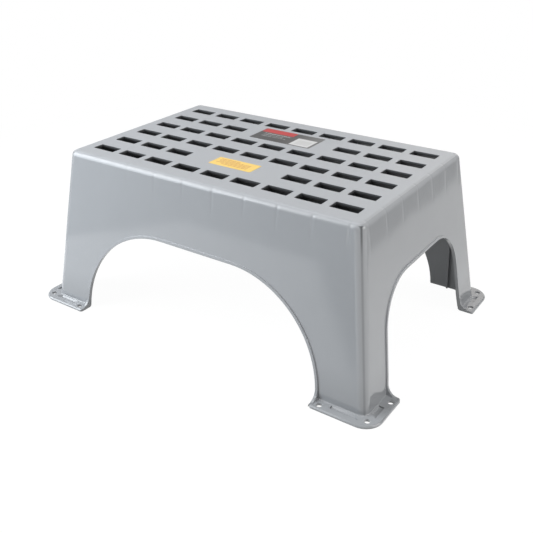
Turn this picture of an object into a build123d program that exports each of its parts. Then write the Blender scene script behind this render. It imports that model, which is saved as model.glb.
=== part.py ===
from build123d import *
from math import cos, radians, sin, tan
import os

# Caravan entry step: one hollow moulding, open underneath, with two thin film labels.
# Millimetres. X runs along the step, Y from front to back and Z up. The origin is on
# the floor, under the middle of the deck.

# Deck and walls
deck_length = 455.0          # between the end walls, measured at deck level
deck_depth = 282.4           # between the front and back walls, measured at deck level
height = 226.0               # floor to the top of the deck
end_lean = 8.7               # degrees that the two end walls lean outwards going down
side_lean = 8.1              # degrees that the front and back walls lean
wall = 3.5
deck_thickness = 4.0
deck_edge_radius = 8.0       # rounding between the deck and the walls
corner_radius = 11.0         # upright corners

# Feet
foot_thickness = 3.5
end_foot_width = 18.0        # how far a foot stands out past an end wall
side_foot_width = 16.4       # how far a foot stands out past the front or back wall
foot_outline_radius = 24.0   # rounded outer corner of each foot
foot_tip_radius = 4.0        # outer corners where a foot ends at an arch
foot_edge_cut = 1.5          # slanted upper edge of a foot
foot_root_radius = 1.6       # small rounding where the wall meets the foot
inner_foot_radius = 4.0      # rounding of the lower inside edge of the walls

# Arches, given on the outer face of the wall they are cut in
side_arch_half_span = 193.6
side_arch_lean = 0.0
side_arch_radius = 136.0
end_arch_half_span = 116.0
end_arch_lean = 6.6
end_arch_radius = 62.0
end_arch_flare = 3.0         # how much wider the end arches get in their lowest part
flare_height = 30.0
arch_height = 136.5          # floor to the crown, the same all round
bead_width = 3.4             # raised rim round each arch
bead_height = 1.4
bead_sweep = 15.0            # radius of the rim's sweep out over the end of each foot

# Bolt holes, three in each foot
bolt_hole = 7.6
corner_hole_reach = 3.9      # corner hole, beyond the wall's corner both ways
side_hole_from_tip = 11.1    # front and back arm holes, in from the end of the foot
end_hole_from_tip = 11.7     # end arm holes, in from the end of the foot
arm_hole_from_rim = 7.5      # arm holes, in from the outer edge of the foot

# Shallow pockets between the bolt holes
pocket_depth = 2.0
pocket_rim = 9.2             # left standing along the outer edge of the foot
pocket_from_hole = 13.0      # from the arm hole's centre to the square end of the pocket
pocket_corner_gap = 10.0     # from the corner hole's centre to the slanted end
pocket_slant = 6.5

# Slots in the deck
slot_columns = 9
slot_rows = 6
slot_pitch_x = 47.3
slot_pitch_y = 42.5
slot_length = 37.2           # at the top of the deck
slot_width = 17.4
slot_corner_cut = 1.0        # small flats across the corners
slot_draft = 5.0             # degrees that the slots narrow on the way down
plain_columns = (3, 4, 5)    # no slots here, in the second row from each side
plain_rows = (1, 4)

# Ribs
rib_thickness = 2.4
rib_depth = 20.0             # below the underside of the deck
leg_rib_start = 2.5          # upright ribs inside the front and back walls, above the floor
leg_rib_depth_low = 4.2      # at the lower end
leg_rib_depth_top = 6.0      # and just under the deck
leg_rib_inset = 5.8          # from the end wall's deck line in to the middle of that rib

# Film labels
film = 0.2
front_label = (67.0, 27.0)
front_label_centre = (-1.0, -62.8)
back_label = (100.0, 47.0)
back_label_centre = (-4.0, 66.5)
label_corner_radius = 1.5

overlap = 2.0                # how far cutters and fused blocks run past each other


def slope(lean):
    return tan(radians(lean))


def half_x(z):
    """Half the outer length of the walls at height z."""
    return deck_length / 2 + (height - z) * slope(end_lean)


def half_y(z):
    """Half the outer depth of the walls at height z."""
    return deck_depth / 2 + (height - z) * slope(side_lean)


rim_x = half_x(0) + end_foot_width     # outer edges of the feet
rim_y = half_y(0) + side_foot_width
end_tip = end_arch_half_span + end_arch_flare     # where the feet end, at the floor


def through_y(face, length):
    return extrude(Plane.XZ * face, amount=length / 2, both=True)


def through_x(face, length):
    return extrude(Plane.YZ * face, amount=length / 2, both=True)


def frustum(z_low, z_high, grow=0.0):
    """Leaning four-sided block that follows the walls, grown outwards by grow."""
    def section(half_at):
        low = half_at(z_low) + grow
        high = half_at(z_high) + grow
        outline = Polyline((-low, z_low), (low, z_low), (high, z_high), (-high, z_high), close=True)
        return make_face(outline)
    block = through_y(section(half_x), 4 * half_y(0)) & through_x(section(half_y), 4 * half_x(0))
    upright = block.edges().filter_by(lambda edge: edge.bounding_box().size.Z > overlap)
    return fillet(upright, corner_radius + grow)


def arch_outline(half_span, lean, radius, flare, grow=0.0):
    """Arch opening as a face: flared and leaning sides, round shoulders, flat crown."""
    top = arch_height + grow
    radius = radius + grow
    side = half_span + grow / cos(radians(lean))
    centre_z = top - radius
    centre_x = side - centre_z * slope(lean) - radius / cos(radians(lean))
    low = (side + flare, 0)
    straight = (side - flare_height * slope(lean), flare_height)
    foot = (centre_x + radius * cos(radians(lean)), centre_z + radius * sin(radians(lean)))
    middle = radians((90 + lean) / 2)
    shoulder = (centre_x + radius * cos(middle), centre_z + radius * sin(middle))
    crown = (centre_x, top)
    half = [Line(straight, foot), ThreePointArc(foot, shoulder, crown)]
    half.append(Polyline(crown, (0, top), (0, -overlap), (low[0], -overlap), low))
    if flare:
        bend = (side + flare / 4 - flare_height / 2 * slope(lean), flare_height / 2)
        half.append(ThreePointArc(low, bend, straight))
    else:
        half.append(Line(low, straight))
    face = make_face(half)
    return face + mirror(face, Plane.YZ)


def side_arch(grow=0.0):
    outline = arch_outline(side_arch_half_span, side_arch_lean, side_arch_radius, 0, grow)
    return through_y(outline, 4 * half_y(0))


def end_arch(grow=0.0):
    outline = arch_outline(end_arch_half_span, end_arch_lean, end_arch_radius, end_arch_flare, grow)
    return through_x(outline, 4 * half_x(0))


def rim_section(half_at, foot_edge):
    """Section of the raised rim: along the wall, then swept out over the foot."""
    top = arch_height + 4 * bead_width
    low = foot_thickness / 2
    inner = half_at(top) - wall - overlap
    corner = (half_at(foot_thickness) + bead_height, foot_thickness)
    points = [(inner, low), (foot_edge, low), (foot_edge, foot_thickness), corner]
    points += [(half_at(top) + bead_height, top), (inner, top)]
    face = make_face(Polyline(*points, close=True))
    nearest = face.vertices().sort_by_distance((*corner, 0))[0]
    return fillet(nearest, bead_sweep)


def arch_rims():
    """Raised rims of the four arches, before the arches are cut through them."""
    side_section = rim_section(half_y, rim_y - foot_edge_cut)
    end_section = rim_section(half_x, rim_x - foot_edge_cut)
    side = through_x(side_section, 2 * (side_arch_half_span + 2 * bead_width))
    end = through_y(end_section, 2 * (end_tip + 2 * bead_width))
    side &= side_arch(bead_width)
    end &= end_arch(bead_width)
    return [side, mirror(side, Plane.XZ), end, mirror(end, Plane.YZ)]


def hole_places():
    """Bolt hole centres for one foot: corner, front or back arm, end arm."""
    corner_x = half_x(foot_thickness) + corner_hole_reach
    corner_y = half_y(foot_thickness) + corner_hole_reach
    side_arm = (side_arch_half_span + side_hole_from_tip, rim_y - arm_hole_from_rim)
    end_arm = (rim_x - arm_hole_from_rim, end_tip + end_hole_from_tip)
    return (corner_x, corner_y), side_arm, end_arm


def four_corners(shape):
    across = [shape, mirror(shape, Plane.YZ)]
    return across + [mirror(s, Plane.XZ) for s in across]


def foot_tip_rounds():
    """Cutters that round the outer corners of each foot where it meets an arch."""
    square = Rectangle(foot_tip_radius, foot_tip_radius, align=(Align.MIN, Align.MIN))
    corner = square - Pos(foot_tip_radius, foot_tip_radius) * Circle(foot_tip_radius)
    corner = extrude(Pos(0, 0, -overlap) * corner, amount=foot_thickness + 2 * overlap)
    flare = end_arch_flare * (1 - foot_thickness / flare_height) ** 2
    tip_y = end_arch_half_span + flare - foot_thickness * slope(end_arch_lean)
    side = Pos(side_arch_half_span, rim_y) * Rot(0, 0, -90) * corner
    end = Pos(rim_x, tip_y) * Rot(0, 0, 90) * corner
    return four_corners(side) + four_corners(end)


def foot_holes():
    cutters = []
    for x, y in hole_places():
        hole = Pos(x, y, foot_thickness / 2) * Cylinder(bolt_hole / 2, foot_thickness + overlap)
        cutters += four_corners(hole)
    return cutters


def foot_pockets():
    """Shallow pockets beside the wall: square end, slanted end, sloping wall side."""
    corner, side_arm, end_arm = hole_places()

    def side_outline(depth):
        near = half_y(foot_thickness) + foot_root_radius + depth
        far = rim_y - pocket_rim
        start = side_arm[0] + pocket_from_hole
        stop = corner[0] - pocket_corner_gap
        return [(start, near), (stop - pocket_slant, near), (stop, far), (start, far)]

    def end_outline(depth):
        near = half_x(foot_thickness) + foot_root_radius + depth
        far = rim_x - pocket_rim
        start = end_arm[1] + pocket_from_hole
        stop = corner[1] - pocket_corner_gap
        return [(near, start), (near, stop - pocket_slant), (far, stop), (far, start)]

    cutters = []
    for outline in (side_outline, end_outline):
        sections = []
        for depth in (pocket_depth, -overlap / 2):
            face = make_face(Polyline(*outline(depth), close=True))
            sections.append(Pos(0, 0, foot_thickness - depth) * face)
        cutters += four_corners(loft(sections, ruled=True))
    return cutters


def slot_places():
    for column in range(slot_columns):
        for row in range(slot_rows):
            if column in plain_columns and row in plain_rows:
                continue
            x = (column - (slot_columns - 1) / 2) * slot_pitch_x
            y = (row - (slot_rows - 1) / 2) * slot_pitch_y
            yield x, y


def slot_cutter():
    """Slot that narrows a little downwards, as a mould needs."""
    outline = chamfer(Rectangle(slot_length, slot_width).vertices(), slot_corner_cut)
    return extrude(outline, amount=-(deck_thickness + overlap), taper=slot_draft)


def deck_ribs():
    """Crossed ribs under the deck, on the lines midway between the slots."""
    top = height - deck_thickness
    middle = top - rib_depth / 2 + overlap / 2
    deep = rib_depth + overlap
    ribs = []
    for i in range(slot_columns - 1):
        x = (i - (slot_columns - 2) / 2) * slot_pitch_x
        ribs.append(Pos(x, 0, middle) * Box(rib_thickness, 2 * half_y(0), deep))
    for i in range(slot_rows - 1):
        y = (i - (slot_rows - 2) / 2) * slot_pitch_y
        ribs.append(Pos(0, y, middle) * Box(2 * half_x(0), rib_thickness, deep))
    grown = frustum(top - rib_depth, top + overlap, overlap / 2 - wall)
    return [rib & grown for rib in ribs]


def leg_ribs():
    """Upright ribs inside the front and back walls, one in each leg."""
    x = deck_length / 2 - leg_rib_inset
    reach_low = half_y(leg_rib_start) - wall + overlap / 2
    reach_top = half_y(height) - wall + overlap / 2
    top = height - deck_thickness + overlap / 2
    low_depth = leg_rib_depth_low + overlap / 2
    top_depth = leg_rib_depth_top + overlap / 2
    low = Pos(x, reach_low - low_depth / 2, leg_rib_start) * Rectangle(rib_thickness, low_depth)
    high = Pos(x, reach_top - top_depth / 2, top) * Rectangle(rib_thickness, top_depth)
    rib = loft([low, high], ruled=True)
    return four_corners(rib)


def outer_form():
    """Solid outer form: leaning walls, rounded deck edge and the plate of the feet."""
    block = frustum(0, height)
    top_edges = block.faces().sort_by(Axis.Z)[-1].edges()
    block = fillet(top_edges, deck_edge_radius)
    plate = RectangleRounded(2 * rim_x, 2 * rim_y, foot_outline_radius)
    plate = extrude(plate, amount=foot_thickness)
    rim = plate.faces().sort_by(Axis.Z)[-1].edges()
    plate = chamfer(rim, foot_edge_cut)
    form = block + plate
    foot_top = form.faces().filter_by(Axis.Z).sort_by_distance((half_x(0), half_y(0), foot_thickness))[0]
    return fillet(foot_top.inner_wires()[0].edges(), foot_root_radius)


def build_moulding():
    body = outer_form()
    body += arch_rims()
    body -= frustum(-overlap, height - deck_thickness, -wall)
    mouth = body.faces().sort_by(Axis.Z)[0].inner_wires()[0]
    body = fillet(mouth.edges(), inner_foot_radius)
    body += deck_ribs()
    body += leg_ribs()
    body -= [side_arch(), end_arch()]
    cutter = slot_cutter()
    body -= [Pos(x, y, height) * cutter for x, y in slot_places()]
    body -= foot_tip_rounds()
    body -= foot_holes()
    body -= foot_pockets()
    return body


def build_label(size, centre):
    outline = Pos(*centre, height) * RectangleRounded(*size, label_corner_radius)
    return extrude(outline, amount=film)


parts = {
    "step_moulding": build_moulding(),
    "front_label": build_label(front_label, front_label_centre),
    "back_label": build_label(back_label, back_label_centre),
}
os.makedirs("parts", exist_ok=True)
for name, shape in parts.items():
    export_step(shape, f"parts/{name}.step")
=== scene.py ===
from math import radians
import bmesh
import bpy
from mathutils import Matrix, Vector

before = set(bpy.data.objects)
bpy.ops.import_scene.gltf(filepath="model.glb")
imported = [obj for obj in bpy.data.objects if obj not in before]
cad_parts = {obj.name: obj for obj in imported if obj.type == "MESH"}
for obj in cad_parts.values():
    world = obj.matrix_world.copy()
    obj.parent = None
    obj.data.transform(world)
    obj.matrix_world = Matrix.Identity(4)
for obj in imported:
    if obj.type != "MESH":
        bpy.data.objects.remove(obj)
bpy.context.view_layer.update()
print("frame loaded:", ", ".join(sorted(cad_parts)))

mm = 0.001
scene = bpy.context.scene
scene.view_settings.view_transform = "Standard"

# camera at the photograph's angle
camera = {
    "place": (0.54154, -0.77062, 0.54821),
    "turn": (62.0294, 0.5487, 34.6164),   # degrees
    "lens": 48.656,                       # mm
    "sensor": 36,                         # mm
    "nearest": 10 * mm,
}

cameraData = bpy.data.cameras.new("camera")
cameraData.lens = camera["lens"]
cameraData.sensor_width = camera["sensor"]
cameraData.clip_start = camera["nearest"]
cameraObject = bpy.data.objects.new("camera", cameraData)
cameraObject.location = camera["place"]
cameraObject.rotation_euler = [radians(angle) for angle in camera["turn"]]
scene.collection.objects.link(cameraObject)
scene.camera = cameraObject
print("camera placed")


class Wire:
    # one socket of a node tree, so that shader maths can be written as sums
    def __init__(self, finish, socket):
        self.finish, self.socket = finish, socket

    def maths(self, operation, *values):
        return self.finish.maths(operation, *values)

    def __add__(self, other):
        return self.maths("ADD", self, other)

    def __radd__(self, other):
        return self.maths("ADD", other, self)

    def __sub__(self, other):
        return self.maths("SUBTRACT", self, other)

    def __rsub__(self, other):
        return self.maths("SUBTRACT", other, self)

    def __mul__(self, other):
        return self.maths("MULTIPLY", self, other)

    def __rmul__(self, other):
        return self.maths("MULTIPLY", other, self)

    def __truediv__(self, other):
        return self.maths("DIVIDE", self, other)

    def __rtruediv__(self, other):
        return self.maths("DIVIDE", other, self)

    def __abs__(self):
        return self.maths("ABSOLUTE", self)


class Finish:
    # a material, or the world, with its node tree
    def __init__(self, owner):
        owner.use_nodes = True
        self.owner = owner
        self.tree = owner.node_tree
        self.tree.nodes.clear()

    def node(self, kind, settings=None, values=(), output=0):
        made = self.tree.nodes.new(kind)
        for name, value in (settings or {}).items():
            setattr(made, name, value)
        pairs = values.items() if isinstance(values, dict) else enumerate(values)
        for key, value in pairs:
            self.join(made.inputs[key], value)
        return Wire(self, made.outputs[output]) if made.outputs else made

    def join(self, socket, value):
        if isinstance(value, Wire):
            self.tree.links.new(value.socket, socket)
        else:
            socket.default_value = value

    def outputsOf(self, wire, *names):
        return [Wire(self, wire.socket.node.outputs[name]) for name in names]

    def maths(self, operation, *values):
        return self.node("ShaderNodeMath", {"operation": operation}, values)

    def largest(self, first, *others):
        for other in others:
            first = self.maths("MAXIMUM", first, other)
        return first

    def place(self, *axes):
        # distances along the object's own axes
        coordinates = self.node("ShaderNodeTexCoord", output="Object")
        return self.outputsOf(self.node("ShaderNodeSeparateXYZ", values=[coordinates]), *axes)

    def rays(self):
        # which kind of ray meets the floor or the world
        path = self.node("ShaderNodeLightPath")
        return self.outputsOf(path, "Is Camera Ray", "Is Glossy Ray", "Is Transmission Ray")

    def noise(self, scale, detail=2.0, roughness=0.5, stretch=(1, 1, 1)):
        coordinates = self.node("ShaderNodeTexCoord", output="Object")
        mapped = self.node("ShaderNodeMapping", values={"Vector": coordinates, "Scale": stretch})
        values = {"Vector": mapped, "Scale": scale, "Detail": detail, "Roughness": roughness}
        return self.node("ShaderNodeTexNoise", {"noise_dimensions": "3D"}, values)

    def fade(self, value, start, end):
        # 0 at start, 1 at end, smooth between, and end may be the smaller one
        values = {"Value": value, "From Min": start, "From Max": end}
        if start > end:
            values.update({"From Min": end, "From Max": start, "To Min": 1.0, "To Max": 0.0})
        return self.node("ShaderNodeMapRange", {"interpolation_type": "SMOOTHSTEP"}, values)

    def blend(self, factor, first, second):
        # two colours mixed by a mask: inputs 6 and 7 and output 2 are the node's colour ones
        values = {"Factor": factor, 6: first, 7: second}
        return self.node("ShaderNodeMix", {"data_type": "RGBA"}, values, output=2)

    def bump(self, height, distance, normal=None):
        values = {"Height": height, "Distance": distance, "Strength": 1.0}
        if normal is not None:
            values["Normal"] = normal
        return self.node("ShaderNodeBump", values=values)

    def finishWith(self, surface):
        isWorld = isinstance(self.owner, bpy.types.World)
        kind = "ShaderNodeOutputWorld" if isWorld else "ShaderNodeOutputMaterial"
        self.node(kind, values={"Surface": surface})


def grey(level):
    return (level, level, level, 1)


def inMm(*values):
    return tuple(value * mm for value in values)


# light grey plastic: glossy walls, satin deck
# a pair of heights or depths is where a change begins and where it is complete
# a noise is its scale, detail and roughness, and how its pattern is stretched
plastic = {
    "colour": (0.405, 0.420, 0.438, 1),
    "paler": (0.425, 0.440, 0.458, 1),
    "mottle": (28.0, 3.0, 0.55),
    "bendOfLight": 1.5,                      # index of refraction
    "wallRoughness": 0.08,
    "deckRoughness": 0.50,
    "insideRoughness": 0.40,
    "roughnessDrift": 0.03,
    "height": 226.0 * mm,
    "deckHalf": inMm(227.5, 141.2),          # half the deck's length and depth
    "lean": (0.1530, 0.1423),                # how fast the walls run outwards going down
    "deckHeights": inMm(224.0, 225.8),
    "insideHeights": inMm(224.0, 223.0),
    "insideDepths": inMm(-1.75, -3.5),       # halfway through the wall, and its inner face
    "ribHeights": inMm(185, 215),
    "slotDepths": inMm(-8.5, -10),           # in from the walls, where the flat deck begins
    "slotTops": inMm(225.95, 225.5),
    "slotFeet": inMm(219, 221),
    "footHeights": inMm(55, 4),
    "insidePaintedShade": 0.62,                     # painted shade: share of the colour left inside the walls, where less light reaches
    "ribPaintedShade": 0.38,                        # painted shade, further, up among the ribs
    "slotPaintedShade": 0.22,                       # painted shade on the slots' own walls
    "lowPaintedShade": 0.85,                       # painted shade, darker towards the floor below the first of the foot heights
    "edgeSoftness": 0.7 * mm,
    "edgeSamples": 6,
    "wave": (9.0, 1.0, 0.4),
    "waveDepth": 0.5 * mm,
    "grain": (850.0, 2.0, 0.6),
    "grainDepth": 0.016 * mm,
    "wallGrain": 0.15,                       # how much of the deck's grain the walls have
}

# sink marks on the walls, where the ribs under the deck meet them
sinkMarks = {
    "pitch": inMm(47.3, 42.5),               # of the ribs along the length and the depth
    "offset": (20.0, 20.5),                  # with a half, one mark is at the wall's middle
    "half": 3.4 * mm,
    "depth": 0.21 * mm,
    "heights": inMm(178.0, 222.0),
    "wallDepths": inMm(-9, -3),              # they end where the deck begins
    "wander": (60.0, 1.0, 0.5, (1, 1, 0.02)),
    "wanderReach": 28.0 * mm,                # how unevenly they end
}


def makeSinkMarks(f, x, y, z, toSide, toEnd):
    # along the front and back walls first, then along the end walls
    v = sinkMarks
    wander = f.noise(*v["wander"])
    height = f.fade(z + (wander - 0.5) * v["wanderReach"], *v["heights"])
    marks = []
    for along, pitch, offset, across in zip((x, y), v["pitch"], v["offset"], (toSide, toEnd)):
        near = abs(f.maths("FRACT", along / pitch + offset) - 0.5) * pitch
        marks.append(f.fade(near, v["half"], 0.0) * f.fade(across, *v["wallDepths"]))
    return f.largest(*marks) * height * (0.5 + wander)


def makePlastic():
    f = Finish(bpy.data.materials.new("greyPlastic"))
    v = plastic
    x, y, z = f.place("X", "Y", "Z")
    down = v["height"] - z
    toEnd = abs(x) - (v["deckHalf"][0] + down * v["lean"][0])       # 0 on the end walls' outer face
    toSide = abs(y) - (v["deckHalf"][1] + down * v["lean"][1])      # 0 on the front and back walls'
    deck = f.fade(z, *v["deckHeights"])
    inside = f.fade(toEnd, *v["insideDepths"]) * f.fade(toSide, *v["insideDepths"])
    inside = inside * f.fade(z, *v["insideHeights"])
    ribs = inside * f.fade(z, *v["ribHeights"])
    slots = f.fade(toEnd, *v["slotDepths"]) * f.fade(toSide, *v["slotDepths"])
    slots = slots * f.fade(z, *v["slotTops"]) * f.fade(z, *v["slotFeet"])
    # mask for painted shade, darker towards the floor
    feet = f.fade(z, *v["footHeights"])

    mottle = f.noise(*v["mottle"])
    colour = f.blend(mottle, v["colour"], v["paler"])
    # painted shade: the colour is darkened inside the walls, up among the ribs, on the slots' walls
    # and low down
    shade = 1 - (1 - v["insidePaintedShade"]) * inside
    for mask, level in ((ribs, "ribPaintedShade"), (slots, "slotPaintedShade"), (feet, "lowPaintedShade")):
        shade = shade * (1 - (1 - v[level]) * mask)
    colour = f.blend(shade, grey(0.0), colour)

    roughness = v["wallRoughness"] + (v["deckRoughness"] - v["wallRoughness"]) * deck
    roughness = roughness + (v["insideRoughness"] - v["wallRoughness"]) * inside
    roughness = roughness + (mottle - 0.5) * v["roughnessDrift"]

    normal = f.node("ShaderNodeBevel", {"samples": v["edgeSamples"]}, {"Radius": v["edgeSoftness"]})
    normal = f.bump(f.noise(*v["wave"]), v["waveDepth"], normal)
    sink = makeSinkMarks(f, x, y, z, toSide, toEnd)
    normal = f.bump(1 - sink, sinkMarks["depth"], normal)
    grain = f.noise(*v["grain"]) * (v["wallGrain"] + (1 - v["wallGrain"]) * deck)
    normal = f.bump(grain, v["grainDepth"], normal)
    f.finishWith(f.node("ShaderNodeBsdfPrincipled", values={
        "Base Color": colour, "Roughness": roughness, "Normal": normal, "IOR": v["bendOfLight"],
    }))
    return f.owner


# film labels, with plain fields and bars of colour
film = {
    "wear": (240.0, 3.0, 0.6),
    "wearShare": 0.12,
    "wave": (70.0, 2.0, 0.5),
    "waveDepth": 0.03 * mm,
    "bendOfLight": 1.45,
}

# a bar or field is its middle and half its size, along and across the label, mm
yellowFilm = {
    "centre": inMm(-1.0, -62.8),
    "colour": (0.92, 0.64, 0.17, 1),
    "ink": (0.50, 0.18, 0.045, 1),
    "inkShare": 0.8,
    "leastInk": 0.35,                        # where a bar is worn
    "bars": (
        (-12.0, 8.4, 15.0, 1.1),
        (-2.0, 4.4, 25.0, 1.0),
        (-1.0, 0.6, 24.0, 1.0),
        (-2.5, -3.2, 25.5, 1.0),
        (3.0, -7.0, 20.0, 1.0),
    ),
    "breaks": (420.0, 1.0, 0.5, (1, 2.5, 1)),
    "breakLevels": (0.40, 0.56),
    "roughness": 0.32,
    "soft": 0.35 * mm,
}

darkFilm = {
    "centre": inMm(-4.0, 66.5),
    "colour": (0.060, 0.059, 0.058, 1),
    "faded": (0.16, 0.16, 0.158, 1),
    "fading": inMm(-10, 55),                 # along the label, from its middle
    "red": (0.50, 0.035, 0.035, 1),
    "white": (0.66, 0.66, 0.655, 1),
    "pale": (0.50, 0.50, 0.49, 1),
    "band": (-22.0, 15.5, 27.0, 7.5),        # red band along the rear edge
    "field": (31.0, -7.0, 15.5, 14.5),       # white field, with a grey block on it
    "block": (32.0, -8.0, 11.0, 8.5),
    "blockShare": 0.45,
    "bars": ((-18.0, 3.5, 22.0, 2.0), (-22.0, -2.5, 17.0, 1.0), (-19.0, -8.0, 21.0, 1.0)),
    "barShare": 0.8,
    "breaks": (380.0, 1.0, 0.5, (1, 2.5, 1)),
    "breakLevels": (0.38, 0.58),
    "roughness": 0.30,
    "soft": 0.5 * mm,
}


def boxes(f, x, y, look, *shapes):
    # mask of bars or fields
    parts = []
    for middleX, middleY, halfX, halfY in shapes:
        offX = abs(x - look["centre"][0] - middleX * mm) - halfX * mm
        offY = abs(y - look["centre"][1] - middleY * mm) - halfY * mm
        parts.append(f.fade(f.largest(offX, offY), look["soft"], -look["soft"]))
    return f.largest(*parts)


def yellowColour(f, x, y, look):
    broken = f.fade(f.noise(*look["breaks"]), *look["breakLevels"])
    ink = (look["leastInk"] + (1 - look["leastInk"]) * broken) * look["inkShare"]
    return f.blend(boxes(f, x, y, look, *look["bars"]) * ink, look["colour"], look["ink"])


def darkColour(f, x, y, look):
    faded = f.fade(x - look["centre"][0], *look["fading"])
    broken = f.fade(f.noise(*look["breaks"]), *look["breakLevels"])
    bars = boxes(f, x, y, look, *look["bars"]) * broken * look["barShare"]
    block = boxes(f, x, y, look, look["block"]) * look["blockShare"]
    colour = f.blend(faded, look["colour"], look["faded"])
    colour = f.blend(bars, colour, look["pale"])
    colour = f.blend(boxes(f, x, y, look, look["band"]), colour, look["red"])
    colour = f.blend(boxes(f, x, y, look, look["field"]), colour, look["white"])
    return f.blend(block, colour, look["pale"])


def makeFilm(name, look, paint):
    f = Finish(bpy.data.materials.new(name))
    x, y = f.place("X", "Y")
    roughness = look["roughness"] + (f.noise(*film["wear"]) - 0.5) * film["wearShare"]
    f.finishWith(f.node("ShaderNodeBsdfPrincipled", values={
        "Base Color": paint(f, x, y, look),
        "Roughness": roughness,
        "Normal": f.bump(f.noise(*film["wave"]), film["waveDepth"]),
        "IOR": film["bendOfLight"],
    }))
    return f.owner


def dress(node, material):
    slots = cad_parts[node].data.materials
    for i in range(len(slots)):
        slots[i] = material


dress("step_moulding", makePlastic())
dress("front_label", makeFilm("yellowFilm", yellowFilm, yellowColour))
dress("back_label", makeFilm("darkFilm", darkFilm, darkColour))
print("materials set")

# floor and world, in metres
studio = {
    "floorSize": 12.0,
    "paper": 0.35,                           # how much light the floor throws back
    "paperGlow": 1.35,                       # white paper under the step, as the walls reflect it
    "roomGlow": 0.28,                        # the darker room round that paper
    "worldGlow": 0.45,                       # and the room above it
    "paperEdges": (-0.53, 0.55, -0.80),      # left, right and front
    "cutPoint": (0.221, -0.246),             # the paper's slanting edge at the near right
    "cutOut": (0.82, -0.58),                 # and the way out across it
    "edgeBlur": 0.02,
    "paperFall": 0.35,                       # how much dimmer the paper is at the back
    "fallReach": (0.0, 0.5),
    "gleamPoint": (0.245, -0.165),           # tip of the light side that the near corner reflects
    "gleamSlopes": (0.42, -1.0),             # of its edges, towards the front and the back
    "gleamGlow": 1.9,
    "floorShade": 0.15,                      # how much of the floor's own shading the camera sees
    "floorLift": 0.14,                       # raises the rest, so that only the shadow is grey
    "shadeReach": (1.1, 0.45),               # both are gone at the first distance from the middle
}


def reflectedFloor(f, x, y):
    # how bright the walls see the floor
    v = studio
    left, right, front = v["paperEdges"]
    blur = v["edgeBlur"]
    out = (x - v["cutPoint"][0]) * v["cutOut"][0] + (y - v["cutPoint"][1]) * v["cutOut"][1]
    paper = f.fade(x, left - blur, left + blur) * f.fade(x, right + blur, right - blur)
    paper = paper * f.fade(y, front - blur, front + blur) * f.fade(out, blur, -blur)
    paper = paper * (1 - v["paperFall"] * f.fade(y, *v["fallReach"]))
    acrossX, acrossY = x - v["gleamPoint"][0], y - v["gleamPoint"][1]
    frontSlope, backSlope = v["gleamSlopes"]
    gleam = f.fade(acrossX - acrossY * frontSlope, -blur, blur)
    gleam = gleam * f.fade(acrossX * backSlope + acrossY, blur, -blur)
    glow = v["roomGlow"] + (v["paperGlow"] - v["roomGlow"]) * paper
    return f.largest(glow, gleam * v["gleamGlow"])


def makeFloor():
    mesh = bpy.data.meshes.new("floor")
    build = bmesh.new()
    bmesh.ops.create_grid(build, x_segments=1, y_segments=1, size=studio["floorSize"] / 2)
    build.to_mesh(mesh)
    build.free()
    floor = bpy.data.objects.new("floor", mesh)
    scene.collection.objects.link(floor)
    f = Finish(bpy.data.materials.new("floorPaper"))
    isCamera, isGlossy, isTransmission = f.rays()
    x, y = f.place("X", "Y")
    near = f.fade(f.maths("SQRT", x * x + y * y), *studio["shadeReach"])
    direct = f.largest(isCamera, isTransmission)
    levels = (reflectedFloor(f, x, y), 1 + near * studio["floorLift"])
    colours = [f.node("ShaderNodeCombineColor", values=[level] * 3) for level in levels]
    seen = f.blend(direct, *colours)
    white = f.node("ShaderNodeEmission", values={"Color": seen, "Strength": 1.0})
    paper = f.node("ShaderNodeBsdfDiffuse", values={"Color": grey(studio["paper"])})
    share = f.largest(direct * (1 - near * studio["floorShade"]), isGlossy)
    f.finishWith(f.node("ShaderNodeMixShader", values=[share, paper, white]))
    mesh.materials.append(f.owner)


def makeWorld():
    world = bpy.data.worlds.new("studio")
    scene.world = world
    f = Finish(world)
    isCamera, isGlossy, isTransmission = f.rays()
    strength = f.largest(isGlossy * studio["worldGlow"], isCamera, isTransmission)
    f.finishWith(f.node("ShaderNodeBackground", values={"Color": grey(1.0), "Strength": strength}))


# soft lamps: place, aim, width, height, watts, colour
lights = {
    "above": ((0.0, 0.1, 1.8), (0, 0, 0.1), 1.6, 1.2, 14.0, (1.0, 0.99, 1.0)),
    "aboveFront": ((-0.4, -0.95, 1.6), (0, 0, 0.1), 2.2, 0.8, 4.0, (1, 1, 0.98)),
    "left": ((-1.7, -0.3, 0.9), (0, 0, 0.1), 1.2, 1.2, 0.6, (1, 1, 1)),
    "frontLeft": ((-1.2, -1.2, 1.25), (0, 0, 0.15), 1.5, 1.3, 19.3, (0.97, 0.985, 1)),
    "frontRight": ((1.1, -1.3, 1.0), (0.1, 0, 0.1), 1.0, 1.0, 1.8, (1, 1, 1)),
    "right": ((1.8, 0.1, 0.9), (0, 0, 0.1), 1.2, 1.2, 17.2, (1, 0.99, 0.98)),
    "rightBack": ((1.2, 1.5, 0.9), (0, 0, 0.1), 1.2, 1.2, 0.6, (1, 1, 1)),
    "back": ((-0.2, 1.9, 0.9), (0, 0, 0.1), 1.2, 1.2, 6.0, (1, 0.95, 0.9)),
    "leftBack": ((-1.5, 1.2, 0.9), (0, 0, 0.1), 1.2, 1.2, 0.6, (1, 1, 1)),
    "nearLeft": ((-0.9, -0.75, 0.55), (-0.15, -0.1, 0.12), 0.9, 0.8, 9.6, (0.88, 0.94, 1)),
}


def makeLight(name, place, aim, width, height, watts, colour):
    data = bpy.data.lights.new(name, "AREA")
    data.shape = "RECTANGLE"
    data.size, data.size_y = width, height
    data.energy = watts
    data.color = colour
    lamp = bpy.data.objects.new(name, data)
    lamp.location = place
    lamp.rotation_euler = (Vector(aim) - Vector(place)).to_track_quat("-Z", "Y").to_euler()
    scene.collection.objects.link(lamp)


makeFloor()
makeWorld()
for name, values in lights.items():
    makeLight(name, *values)
print("studio lit")
